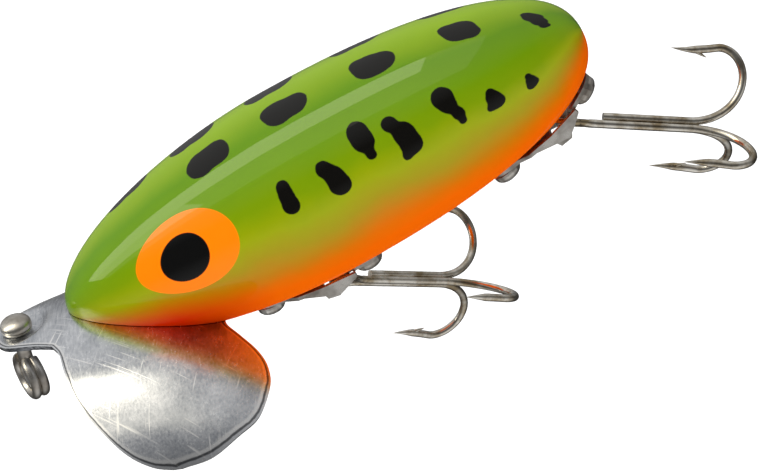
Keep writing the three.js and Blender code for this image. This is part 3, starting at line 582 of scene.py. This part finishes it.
# Hair scratches from handling, straight and bright: the peaks of much stretched noises. Real ones
# are about 0.05 mm wide; these are drawn up to 0.3 mm wide and 8 mm long so that they show.
scratches = []
for turn in (0.45, -0.95):
    along_scratch = add_node(brushed, "ShaderNodeVectorRotate", {
        "Vector": lip_place.outputs["Object"], "Angle": turn}, rotation_type="Z_AXIS")
    scratch_space = add_node(brushed, "ShaderNodeMapping", {
        "Vector": along_scratch.outputs[0], "Scale": (3600, 130, 130)})
    scratch = add_node(brushed, "ShaderNodeTexNoise", {
        "Vector": scratch_space.outputs[0], "Scale": 1.0, "Detail": 0.0})
    scratches.append(add_node(brushed, "ShaderNodeMapRange", {
        "Value": scratch.outputs["Fac"], "From Min": 0.71, "From Max": 0.78,
        "To Min": 0.0, "To Max": 1.0}))
scratched = add_node(brushed, "ShaderNodeMath", {
    0: scratches[0].outputs["Result"], 1: scratches[1].outputs["Result"]}, operation="MAXIMUM")
# They show only here and there, in patches of about 5 mm
handled = add_node(brushed, "ShaderNodeTexNoise", {
    "Vector": lip_place.outputs["Object"], "Scale": 210.0, "Detail": 0.0})
patchy = add_node(brushed, "ShaderNodeMapRange", {
    "Value": handled.outputs["Fac"], "From Min": 0.42, "From Max": 0.55,
    "To Min": 0.0, "To Max": 1.0})
scratch_mark = add_node(brushed, "ShaderNodeMath", {
    0: scratched.outputs[0], 1: patchy.outputs["Result"]}, operation="MULTIPLY")

worn = add_node(brushed, "ShaderNodeMath", {
    0: brush.outputs["Fac"], 1: 0.55, 2: grime.outputs["Fac"]}, operation="MULTIPLY_ADD")
lip_tone = add_node(brushed, "ShaderNodeValToRGB", {"Fac": worn.outputs[0]})
lip_tone.color_ramp.elements[0].position = 0.55
lip_tone.color_ramp.elements[0].color = linear("9DA2AA")
lip_tone.color_ramp.elements[1].position = 1.0
lip_tone.color_ramp.elements[1].color = linear("F0F2F6")
scratched_tone = add_node(brushed, "ShaderNodeMix", {
    0: scratch_mark.outputs[0], 6: lip_tone.outputs["Color"], 7: linear("FFFFFF")},
    data_type="RGBA")
# Within 1 mm of the sheared edge, where the shears roll it over: a painted highlight along the edge,
# a painted shade standing in for a groove inside it, then a brighter painted band. Its places are
# millimetres from the edge, and the grime makes them wander.
rim_place = add_node(brushed, "ShaderNodeAttribute", attribute_name="from_edge")
rim_wander = add_node(brushed, "ShaderNodeMath", {
    0: grime.outputs["Fac"], 1: 0.5, 2: rim_place.outputs["Fac"]}, operation="MULTIPLY_ADD")
rim_painted_highlight_and_shade = add_node(brushed, "ShaderNodeValToRGB", {"Fac": rim_wander.outputs[0]})
rim_painted_light_mask = add_node(brushed, "ShaderNodeMapRange", {
    "Value": rim_wander.outputs[0], "From Min": 0.85, "From Max": 1.0,
    "To Min": 0.8, "To Max": 0.0})
# Bright edge, dark groove and bright band: painted highlight and painted shade, not the metal's own
# colour.
for place, hex_colour in ((0.45, "E6E8EC"), (0.52, "3C3E42"), (0.62, "3C3E42"), (0.7, "FFFFFF")):
    rim_painted_highlight_and_shade.color_ramp.elements.new(place).color = linear(hex_colour)
rim_painted_highlight_and_shade.color_ramp.elements[0].color = linear("F4F5F8")
rim_painted_highlight_and_shade.color_ramp.elements[-1].color = linear("FFFFFF")
lip_colour = add_node(brushed, "ShaderNodeMix", {
    0: rim_painted_light_mask.outputs["Result"], 6: scratched_tone.outputs[2], 7: rim_painted_highlight_and_shade.outputs["Color"]},
    data_type="RGBA")
brushed.node_tree.links.new(lip_colour.outputs[2], brushed_shader.inputs["Base Color"])
lip_gloss = add_node(brushed, "ShaderNodeMapRange", {
    "Value": brush.outputs["Fac"], "From Min": 0.3, "From Max": 0.7,
    "To Min": 0.19, "To Max": 0.28})
brushed.node_tree.links.new(lip_gloss.outputs["Result"], brushed_shader.inputs["Roughness"])
lip_relief = add_node(brushed, "ShaderNodeMath", {
    0: brush.outputs["Fac"], 1: scratch_mark.outputs[0]}, operation="SUBTRACT")
lip_bump = add_node(brushed, "ShaderNodeBump", {
    "Strength": 0.12, "Distance": 0.00002, "Height": lip_relief.outputs[0]})
brushed.node_tree.links.new(lip_bump.outputs["Normal"], brushed_shader.inputs["Normal"])

# The sheared edge of the same sheet gives the eye a duller line that is mottled every 0.7 mm, where
# the metal tore. The tearing is really finer than 0.2 mm, and is drawn coarser so that it shows.
sheared, sheared_shader = new_finish("sheared_aluminium_edge", Metallic=1.0, Roughness=0.45)
sheared_place = add_node(sheared, "ShaderNodeTexCoord")
torn = add_node(sheared, "ShaderNodeTexNoise", {
    "Vector": sheared_place.outputs["Object"], "Scale": 1500.0, "Detail": 3.0})
torn_tone = add_node(sheared, "ShaderNodeValToRGB", {"Fac": torn.outputs["Fac"]})
torn_tone.color_ramp.elements[0].position = 0.4
torn_tone.color_ramp.elements[0].color = linear("777A80")
torn_tone.color_ramp.elements[1].position = 0.62
torn_tone.color_ramp.elements[1].color = linear("D0D3D8")
sheared.node_tree.links.new(torn_tone.outputs["Color"], sheared_shader.inputs["Base Color"])

# The sheet runs in columns from its front edge to its rear edge, closer together near the edges
front_edge = smooth_outline(TAB_NOSE, TAB_STEPS) + smooth_outline(WING_FRONT, WING_STEPS)[1:]
rear_edge = smooth_outline(WING_REAR, TAB_STEPS + WING_STEPS)
columns = list(zip(front_edge, rear_edge))[:-1]
columns = [((fx, -fy), (bx, -by)) for (fx, fy), (bx, by) in columns[:0:-1]] + columns
lip_points = []
for (fx, fy), (bx, by) in columns:
    for i in range(LIP_ROWS + 1):
        v = 0.5 - 0.5 * math.cos(math.pi * i / LIP_ROWS)
        lip_points.append((fx + (bx - fx) * v, fy + (by - fy) * v))
upper = [metres(x, y, lip_height(x, y)) for x, y in lip_points]
lower = []
for x, y in lip_points:
    rise_x = lip_height(x + SLOPE_STEP, y) - lip_height(x - SLOPE_STEP, y)
    rise_y = lip_height(x, y + SLOPE_STEP) - lip_height(x, y - SLOPE_STEP)
    slope = Vector((rise_x / (2 * SLOPE_STEP), rise_y / (2 * SLOPE_STEP), -1))
    down = slope.normalized() * SHEET
    lower.append(metres(x + down.x, y + down.y, lip_height(x, y) + down.z))
stride = LIP_ROWS + 1
under = len(upper)
lip_faces = []
for c in range(len(columns) - 1):
    for i in range(LIP_ROWS):
        a = c * stride + i
        lip_faces.append((a, a + 1, a + stride + 1, a + stride))
        lip_faces.append((under + a, under + a + stride, under + a + stride + 1, under + a + 1))
    for a in (c * stride, c * stride + LIP_ROWS):
        lip_faces.append((a, a + stride, under + a + stride, under + a))
for i in range(LIP_ROWS):
    for a in (i, (len(columns) - 1) * stride + i):
        lip_faces.append((a, a + 1, under + a + 1, under + a))
lip = add_piece("pressed_lip", upper + lower, lip_faces, brushed)

# Each point carries its distance from the sheared edge, for the rim's painted highlight and shade
# bands
half_edge = (smooth_outline(TAB_NOSE, EDGE_FINENESS * TAB_STEPS)
             + smooth_outline(WING_FRONT, EDGE_FINENESS * WING_STEPS)
             + smooth_outline(WING_REAR, EDGE_FINENESS * (TAB_STEPS + WING_STEPS)))
edge_tree = KDTree(2 * len(half_edge))
for k, (x, y) in enumerate(half_edge):
    edge_tree.insert((x, y, 0), 2 * k)
    edge_tree.insert((x, -y, 0), 2 * k + 1)
edge_tree.balance()
from_edge = [edge_tree.find((x, y, 0))[2] for x, y in lip_points]
edge_values = lip.data.attributes.new("from_edge", "FLOAT", "POINT")
edge_values.data.foreach_set("value", from_edge + from_edge)
lip.data.materials.append(sheared)
for face in lip.data.polygons:
    on_top = [v < under for v in face.vertices]
    if any(on_top) and not all(on_top):
        face.material_index = 1
burr = lip.modifiers.new("burr", "BEVEL")
burr.width = BURR / 1000
burr.segments = 2
burr.limit_method = "ANGLE"
burr.angle_limit = math.radians(50)
apply_modifiers(lip, sharp_angle=50)
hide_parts("lip")
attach(lip, "lure")


# The line tie. A wire eye wound double hangs on a shank through the lip's tab, headed over a washer
# by a domed cap. All are brass, bent or turned, and nickel plated. Its own sizes run up the shank
# from the seat on the tab, and the eye's middle hangs below that.
WIRE = 1.3
EYE_RADIUS = 2.75
EYE_BELOW = 7.4
EYE_TURN = math.radians(27.5)
TIE_LEAN = math.radians(8)
SHANK = 1.9
SHANK_FOOT = 0.1
CAP_RADIUS = 2.1
CAP_HEIGHT = 1.5
CAP_RIM = 0.35
CAP_BORE = 0.8
CAP_CHAMFER = 0.12
BORE_ROOM = 0.02
WASHER = 0.35
WASHER_RADIUS = CAP_RADIUS - 0.05
WASHER_CHAMFER = 0.05
LOOSE_FIT = 0.04
COIL_START = 0.12
COIL_LENGTH = 3.78
COIL_SHIFT = 0.46
COIL_CROSSES_AT = 1.8
COIL_CROSSES_OVER = 0.4
COIL_STEPS = 120
WIRE_SIDES = 20
SHANK_SIDES = 24
TURNED_SIDES = 48
DOME_STEPS = 14

# Worn nickel plate gives the eye a slightly warm metal, bright where it rubs and dull between, in
# clouds of about 2.4 mm. Its pits, really about 0.1 mm, are drawn at 0.4 mm so that they show.
nickel, nickel_shader = new_finish("worn_nickel_plate", Metallic=1.0)
nickel_place = add_node(nickel, "ShaderNodeTexCoord")
tarnish = add_node(nickel, "ShaderNodeTexNoise", {
    "Vector": nickel_place.outputs["Object"], "Scale": 420.0, "Detail": 4.0})
nickel_tone = add_node(nickel, "ShaderNodeValToRGB", {"Fac": tarnish.outputs["Fac"]})
nickel_tone.color_ramp.elements[0].position = 0.35
nickel_tone.color_ramp.elements[0].color = linear("A39C92")
nickel_tone.color_ramp.elements[1].position = 0.65
nickel_tone.color_ramp.elements[1].color = linear("EAE6DF")
nickel.node_tree.links.new(nickel_tone.outputs["Color"], nickel_shader.inputs["Base Color"])
nickel_gloss = add_node(nickel, "ShaderNodeMapRange", {
    "Value": tarnish.outputs["Fac"], "From Min": 0.3, "From Max": 0.7,
    "To Min": 0.4, "To Max": 0.24})
nickel.node_tree.links.new(nickel_gloss.outputs["Result"], nickel_shader.inputs["Roughness"])
pits = add_node(nickel, "ShaderNodeTexNoise", {
    "Vector": nickel_place.outputs["Object"], "Scale": 2600.0, "Detail": 2.0})
nickel_bump = add_node(nickel, "ShaderNodeBump", {
    "Strength": 0.25, "Distance": 0.00003, "Height": pits.outputs["Fac"]})
nickel.node_tree.links.new(nickel_bump.outputs["Normal"], nickel_shader.inputs["Normal"])


def sweep(points, radii, sides):
    """Rings of points round a line of points, each with its own radius, ready for turned_faces."""
    rings = []
    side = None
    for i, point in enumerate(points):
        ahead = (points[min(i + 1, len(points) - 1)] - points[max(i - 1, 0)]).normalized()
        if side is None:
            side = ahead.orthogonal()
        side = (side - ahead * side.dot(ahead)).normalized()
        up = ahead.cross(side)
        for k in range(sides):
            angle = 2 * math.pi * k / sides
            rings.append(point + (side * math.cos(angle) + up * math.sin(angle)) * radii[i])
    return rings


tie_frame = (Matrix.Rotation(TIE_TILT, 4, "Y") @ Matrix.Rotation(TIE_LEAN, 4, "X")
             @ Matrix.Rotation(EYE_TURN, 4, "Z"))


def in_tie(x, y, z):
    """A point of the tie, in millimetres from its seat on the tab along its own tilted shank."""
    return tie_frame @ Vector((x, y, z + EYE_BELOW)) / 1000


# The wire makes nearly two turns, counted here in half turns, and crosses to its other side once
coil = []
for i in range(COIL_STEPS + 1):
    angle = math.pi * (COIL_START + COIL_LENGTH * i / COIL_STEPS)
    crossed = smoothstep((angle / math.pi - COIL_CROSSES_AT) / COIL_CROSSES_OVER)
    shift = WIRE * COIL_SHIFT * (2 * crossed - 1)
    coil.append(in_tie(shift, EYE_RADIUS * math.sin(angle),
                       EYE_RADIUS * math.cos(angle) - EYE_BELOW))
eye_points = sweep(coil, [WIRE / 2000] * len(coil), WIRE_SIDES)
tie_eye = add_piece("line_tie_wire_eye", eye_points, turned_faces(len(coil), WIRE_SIDES), nickel)
shank_foot = EYE_RADIUS - EYE_BELOW - SHANK_FOOT
shank_top = WASHER + CAP_BORE - BORE_ROOM
shank_line = [in_tie(0, 0, shank_foot), in_tie(0, 0, shank_top)]
shank_points = sweep(shank_line, [SHANK / 2000] * 2, SHANK_SIDES)
tie_shank = add_piece("line_tie_shank", shank_points, turned_faces(2, SHANK_SIDES), nickel)


def turned_piece(name, profile, place, material, around):
    """A closed piece turned about its own axis, from a profile of (radius, height)."""
    points = []
    for radius, height in profile:
        for k in range(around):
            angle = 2 * math.pi * k / around
            points.append(place(radius * math.cos(angle), radius * math.sin(angle), height))
    return add_piece(name, points, turned_faces(len(profile), around), material)


cap_base = WASHER + LOOSE_FIT
cap_profile = [(TIP_RADIUS, cap_base), (CAP_RADIUS - CAP_CHAMFER, cap_base),
               (CAP_RADIUS, cap_base + CAP_CHAMFER)]
for i in range(DOME_STEPS + 1):
    angle = math.pi / 2 * i / DOME_STEPS
    cap_profile.append((max(CAP_RADIUS * math.cos(angle), TIP_RADIUS),
                        cap_base + CAP_RIM + (CAP_HEIGHT - CAP_RIM) * math.sin(angle)))
tie_cap = turned_piece("line_tie_dome", cap_profile, in_tie, nickel, TURNED_SIDES)
washer_profile = [(TIP_RADIUS, LOOSE_FIT), (WASHER_RADIUS - WASHER_CHAMFER, LOOSE_FIT),
                  (WASHER_RADIUS, LOOSE_FIT + WASHER_CHAMFER),
                  (WASHER_RADIUS, WASHER - WASHER_CHAMFER),
                  (WASHER_RADIUS - WASHER_CHAMFER, WASHER), (TIP_RADIUS, WASHER)]
tie_washer = turned_piece("line_tie_disc", washer_profile, in_tie, nickel, TURNED_SIDES)
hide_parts("line_tie_eye")
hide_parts("line_tie_cap")
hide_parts("line_tie_washer")
for piece in (tie_eye, tie_shank, tie_cap, tie_washer):
    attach(piece, "line_tie")


# The screws, stamped plates and straps keep their CAD shapes. They are steel, punched and bent or
# headed, then nickel plated like the tie.
for node in ("lip_screw_front", "lip_screw_rear", "belly_hanger_plate", "belly_hanger_strap",
             "belly_hanger_screw_front", "belly_hanger_screw_rear", "tail_hanger_plate",
             "tail_hanger_strap", "tail_hanger_screw_front", "tail_hanger_screw_rear"):
    carried = frame["nodes"][node]
    carried.data.materials.clear()
    carried.data.materials.append(nickel)


# The treble hooks. One steel wire makes two hooks and the eye between them, and a third hook is
# brazed along their shanks. Each is bent, barbed by a cut that lifts a spur, ground sharp, and
# plated. A hook's own sizes run along X from the middle of its eye, which hangs on a hinge.
HOOK_WIRE = 1.05
HOOK_EYE_RADIUS = 1.5
HOOK_EYE_WIRE = 0.95
HOOK_EYE_OPENS = 0.27
SHANK_LENGTH = 15.7
DOUBLE_START = 3.5
SINGLE_START = 4.3
BEND_OUT = 6.8
BEND_RISE = 5.9
CROWN_BACK = 3.3
CROWN_RISE = 3.75
POINT_LENGTH = 6.4
POINT_DROP = 0.45
POINT_ARC = 0.75
POINT_TIP = 0.03
POINT_TAPER = 1.9
STRAND_GAP = 0.04
BRAZE_GAP = 0.05
BARB_BACK = 2.9
BARB_IN = 0.42
BARB_LENGTH = 1.9
BARB_LIFT = 0.95
SPUR_SHARES = (0, 0.3, 0.6, 0.85, 1)
SPUR_RADII = (0.3, 0.28, 0.2, 0.1, 0.02)
# From the shanks to the eye: how far along, and how far further out than the shanks' middle lines
NECK = ((3.1, 0.02), (2.7, 0.06), (2.2, 0.16), (1.7, 0.38))
HOOK_EYE_STEPS = 48
BEND_STEPS = 20
POINT_STEPS = 14
HOOK_SIDES = 18
SPUR_SIDES = 10
# How each treble hangs, in degrees: its roll about its shank, its yaw and its droop
TREBLES = {"belly": (-46.6, 27.6, 47.1), "tail": (-24.5, 3.0, 35.4)}

# Nickel over a bronzed wire gives the eye a smooth bright metal with a warm brown cast that comes
# and goes in clouds of about 3.3 mm.
bronzed, bronzed_shader = new_finish("bronzed_nickel_hook_wire", Metallic=1.0, Roughness=0.17)
hook_place = add_node(bronzed, "ShaderNodeTexCoord")
bronze_cloud = add_node(bronzed, "ShaderNodeTexNoise", {
    "Vector": hook_place.outputs["Object"], "Scale": 300.0, "Detail": 5.0, "Roughness": 0.6})
bronze_tone = add_node(bronzed, "ShaderNodeValToRGB", {"Fac": bronze_cloud.outputs["Fac"]})
bronze_tone.color_ramp.elements[0].position = 0.38
bronze_tone.color_ramp.elements[0].color = linear("A8977A")
bronze_tone.color_ramp.elements[1].position = 0.6
bronze_tone.color_ramp.elements[1].color = linear("F0EBE0")
bronzed.node_tree.links.new(bronze_tone.outputs["Color"], bronzed_shader.inputs["Base Color"])
bronze_bump = add_node(bronzed, "ShaderNodeBump", {
    "Strength": 0.12, "Distance": 0.00003, "Height": bronze_cloud.outputs["Fac"]})
bronzed.node_tree.links.new(bronze_bump.outputs["Normal"], bronzed_shader.inputs["Normal"])


def hook_wire(radial, offset, start):
    """The middle line and radii of one hook, and the middle line of its barb's spur."""
    def at(x, out):
        return Vector((x, 0, 0)) + Vector(radial) * out + Vector(offset)

    crown_x = SHANK_LENGTH + BEND_OUT - CROWN_BACK
    reach = BEND_RISE + CROWN_RISE
    line = [at(start, 0), at((start + SHANK_LENGTH) / 2, 0)]
    for i in range(BEND_STEPS + 1):
        angle = math.pi / 2 * (i / BEND_STEPS - 1)
        line.append(at(SHANK_LENGTH + BEND_OUT * math.cos(angle),
                       BEND_RISE + BEND_RISE * math.sin(angle)))
    for i in range(1, POINT_STEPS + 1):
        angle = math.pi / 2 * i / POINT_STEPS
        line.append(at(crown_x + CROWN_BACK * math.cos(angle),
                       BEND_RISE + CROWN_RISE * math.sin(angle)))
    radii = [HOOK_WIRE / 2] * len(line)
    for i in range(1, POINT_STEPS + 1):
        share = i / POINT_STEPS
        drop = POINT_DROP * math.sin(math.pi * share * POINT_ARC)
        line.append(at(crown_x - POINT_LENGTH * share, reach - drop))
        radii.append(HOOK_WIRE / 2 * min(1, POINT_TIP + POINT_TAPER * (1 - share)))
    spur = at(crown_x - POINT_LENGTH + BARB_BACK, reach - BARB_IN)
    lift = Vector((BARB_LENGTH, 0, 0)) - Vector(radial) * BARB_LIFT
    return line, radii, [spur + lift * share for share in SPUR_SHARES]


joints = {joint["child"]: Vector(joint["pos_m"]) for joint in frame["joints"]}
for name, (roll, yaw, droop) in TREBLES.items():
    turn = (Matrix.Rotation(math.radians(droop), 4, "Y") @ Matrix.Rotation(math.radians(yaw), 4, "Z")
            @ Matrix.Rotation(math.radians(roll), 4, "X"))
    hang = Matrix.Translation(joints[name + "_hook"]) @ turn

    half_wire = HOOK_WIRE / 2 + STRAND_GAP / 2
    strands = []
    necks = []
    for sign in (-1, 1):
        radial = (0, sign * math.sin(math.pi / 3), -0.5)
        strands.append(hook_wire(radial, (0, sign * half_wire, 0), DOUBLE_START))
        necks.append([Vector((x, sign * (half_wire + out), 0)) for x, out in NECK])
    loop = []
    for i in range(HOOK_EYE_STEPS + 1):
        wound = (2 * math.pi * HOOK_EYE_OPENS - 2 * math.pi) * i / HOOK_EYE_STEPS
        angle = -math.pi * HOOK_EYE_OPENS + wound
        loop.append(Vector((HOOK_EYE_RADIUS * math.cos(angle), HOOK_EYE_RADIUS * math.sin(angle), 0)))
    line = strands[0][0][::-1] + necks[0] + loop + necks[1][::-1] + strands[1][0]
    neck_radii = [HOOK_WIRE / 2, HOOK_WIRE / 2, HOOK_EYE_WIRE / 2, HOOK_EYE_WIRE / 2]
    radii = (strands[0][1][::-1] + neck_radii + [HOOK_EYE_WIRE / 2] * len(loop) + neck_radii[::-1]
             + strands[1][1])
    single_rise = HOOK_WIRE * math.sqrt(3) / 2 + BRAZE_GAP
    single = hook_wire((0, 0, 1), (0, 0, single_rise), SINGLE_START)
    for kind, middle_line, wire_radii, spurs in (
            ("double", line, radii, [strand[2] for strand in strands]),
            ("single", single[0], single[1], [single[2]])):
        parts = [(middle_line, wire_radii, HOOK_SIDES)]
        parts += [(spur, SPUR_RADII, SPUR_SIDES) for spur in spurs]
        vertices = []
        faces = []
        for path, path_radii, sides in parts:
            first = len(vertices)
            rings = sweep([p / 1000 for p in path], [r / 1000 for r in path_radii], sides)
            vertices += [hang @ v for v in rings]
            faces += [tuple(first + i for i in face) for face in turned_faces(len(path), sides)]
        hook = add_piece(f"{name}_{kind}_hook_wire", vertices, faces, bronzed)
        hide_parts(f"{name}_treble_{kind}")
        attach(hook, f"{name}_hook")
